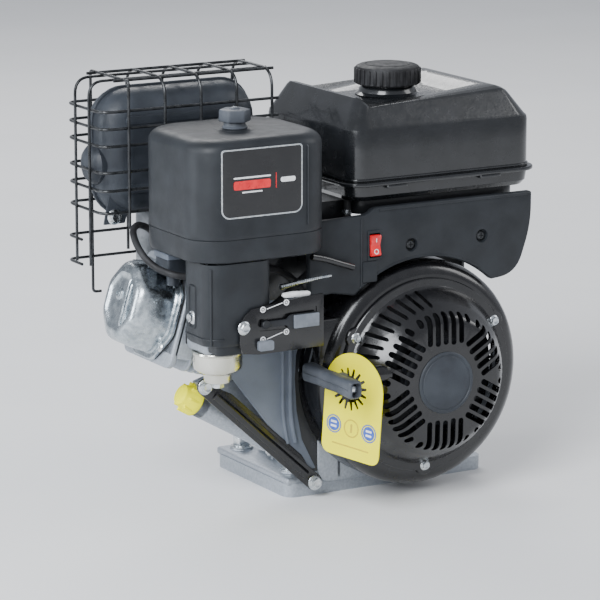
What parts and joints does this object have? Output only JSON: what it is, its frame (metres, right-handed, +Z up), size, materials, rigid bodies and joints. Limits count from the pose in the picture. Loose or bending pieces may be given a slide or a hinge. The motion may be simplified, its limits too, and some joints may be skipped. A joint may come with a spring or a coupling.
{
  "type": "small gasoline engine",
  "caption": "Single-cylinder horizontal-shaft engine with fuel tank, air cleaner, caged muffler, recoil starter with pull grip, choke and fuel levers, dipstick and keyed output shaft.",
  "frame": {"origin": "on the underside of the base, straight under the crank axis", "axes": "+Y along the crank axis towards the output shaft, +Z up, cylinder leaning towards -X"},
  "size_m": [0.4427, 0.336, 0.426],
  "materials": {
    "cast_aluminium": "bead-blasted casting",
    "machined_steel": "machined",
    "zinc_plate": "pressed, zinc plated",
    "black_gloss_paint": "gloss black paint",
    "black_satin_paint": "satin black paint",
    "charcoal_plastic": "fine grained moulding",
    "slate_plastic": "matte moulding",
    "grey_plastic": "matte moulding",
    "black_rubber": "matte",
    "red_plastic": "satin",
    "yellow_plastic": "satin",
    "filter_paper": "pleated paper",
    "gasket_fibre": "matte"
  },
  "bodies": {
    "engine": {"crankcase": "cast_aluminium", "crankcase_cover": "cast_aluminium", "front_bearing": "machined_steel", "rear_bearing": "machined_steel", "oil_seal": "black_rubber", "connecting_rod": "cast_aluminium", "piston": "cast_aluminium", "wrist_pin": "machined_steel", "cylinder_head": "cast_aluminium", "head_gasket": "gasket_fibre", "intake_valve": "machined_steel", "exhaust_valve": "machined_steel", "valve_cover_gasket": "gasket_fibre", "valve_cover": "zinc_plate", "spark_plug": "machined_steel", "spark_plug_boot": "black_rubber", "spark_plug_lead": "black_rubber", "ignition_coil": "black_rubber", "blower_housing": "black_gloss_paint", "recoil_cover": "black_gloss_paint", "starter_rope": "black_rubber", "cylinder_shroud": "slate_plastic", "intake_spacer": "black_rubber", "carburetor_body": "cast_aluminium", "float_bowl": "zinc_plate", "bowl_bolt": "machined_steel", "air_cleaner_base": "charcoal_plastic", "filter_element": "filter_paper", "carburetor_cover": "charcoal_plastic", "control_plate": "charcoal_plastic", "support_brace": "black_satin_paint", "fuel_tank": "black_satin_paint", "front_panel": "charcoal_plastic", "exhaust_pipe": "machined_steel", "muffler": "black_satin_paint", "muffler_guard": "black_satin_paint", "drain_plug": "machined_steel", "tank_bracket": "black_satin_paint", "fuel_line": "black_rubber"},
    "crankshaft": {"crankshaft": "machined_steel", "rod_big_end": "cast_aluminium", "shaft_key": "machined_steel", "flywheel": "cast_aluminium", "cooling_fan": "charcoal_plastic", "starter_cup": "machined_steel", "flywheel_nut": "machined_steel"},
    "camshaft": {"camshaft": "machined_steel"},
    "starter_handle": {"starter_handle": "slate_plastic", "hang_tag": "yellow_plastic"},
    "starter_pulley": {"starter_pulley": "charcoal_plastic"},
    "choke_lever": {"choke_lever": "grey_plastic"},
    "choke_plate": {"choke_plate": "machined_steel"},
    "fuel_valve_lever": {"fuel_valve_lever": "grey_plastic"},
    "throttle_lever": {"throttle_lever": "grey_plastic"},
    "throttle_plate": {"throttle_plate": "machined_steel"},
    "engine_switch": {"engine_switch": "red_plastic"},
    "fuel_cap": {"fuel_cap": "charcoal_plastic"},
    "dipstick": {"dipstick": "yellow_plastic"},
    "air_cleaner_cover": {"air_cleaner_cover": "charcoal_plastic"},
    "cover_knob": {"cover_knob": "slate_plastic"}
  },
  "joints": [
    {"name": "crank_spin", "type": "hinge", "parent": "engine", "child": "crankshaft", "pos_m": [0, 0, 0.125], "axis": [0, 1, 0], "continuous": true},
    {"name": "cam_spin", "type": "hinge", "parent": "engine", "child": "camshaft", "pos_m": [-0.02705, 0, 0.067], "axis": [0, 1, 0], "continuous": true},
    {"name": "handle_pull", "type": "slide", "parent": "engine", "child": "starter_handle", "axis": [-0.55, -0.8352, 0], "range_m": [0, 0.6], "stiffness_N_per_m": 20, "springref_m": -0.2},
    {"name": "pulley_spin", "type": "hinge", "parent": "engine", "child": "starter_pulley", "pos_m": [0, -0.131, 0.125], "axis": [0, 1, 0], "range_deg": [0, 960]},
    {"name": "choke_turn", "type": "hinge", "parent": "engine", "child": "choke_lever", "pos_m": [-0.204, -0.1345, 0.205], "axis": [0, -1, 0], "range_deg": [0, 20]},
    {"name": "choke_plate_turn", "type": "hinge", "parent": "engine", "child": "choke_plate", "pos_m": [-0.222, -0.088, 0.195], "axis": [1, 0, 0], "range_deg": [0, 80]},
    {"name": "fuel_valve_turn", "type": "hinge", "parent": "engine", "child": "fuel_valve_lever", "pos_m": [-0.1965, -0.1355, 0.185], "axis": [0, -1, 0], "range_deg": [0, 20]},
    {"name": "throttle_turn", "type": "hinge", "parent": "engine", "child": "throttle_lever", "pos_m": [-0.147, -0.126, 0.1925], "axis": [0, -1, 0], "range_deg": [-8, 8]},
    {"name": "throttle_plate_turn", "type": "hinge", "parent": "engine", "child": "throttle_plate", "pos_m": [-0.222, -0.067, 0.195], "axis": [1, 0, 0], "range_deg": [-42, 42]},
    {"name": "switch_rock", "type": "hinge", "parent": "engine", "child": "engine_switch", "pos_m": [-0.058, -0.099, 0.262], "axis": [1, 0, 0], "range_deg": [0, 12]},
    {"name": "fuel_cap_turn", "type": "hinge", "parent": "engine", "child": "fuel_cap", "pos_m": [0.022, 0.008, 0.402], "axis": [0, 0, 1], "range_deg": [0, 90]},
    {"name": "dipstick_pull", "type": "slide", "parent": "engine", "child": "dipstick", "axis": [-0.866, 0, 0.5], "range_m": [0, 0.18]},
    {"name": "cleaner_cover_lift", "type": "slide", "parent": "engine", "child": "air_cleaner_cover", "axis": [0, 0, 1], "range_m": [0, 0.11]},
    {"name": "cover_knob_turn", "type": "hinge", "parent": "air_cleaner_cover", "child": "cover_knob", "pos_m": [-0.195, -0.066, 0.395], "axis": [0, 0, 1], "range_deg": [0, 720]}
  ],
  "couplings": [
    {"joint": "cam_spin", "follows": "crank_spin", "ratio": -0.5},
    {"joint": "pulley_spin", "follows": "handle_pull", "rad_per_m": 26.316},
    {"joint": "choke_plate_turn", "follows": "choke_turn", "ratio": 4},
    {"joint": "throttle_plate_turn", "follows": "throttle_turn", "ratio": 5.25}
  ]
}
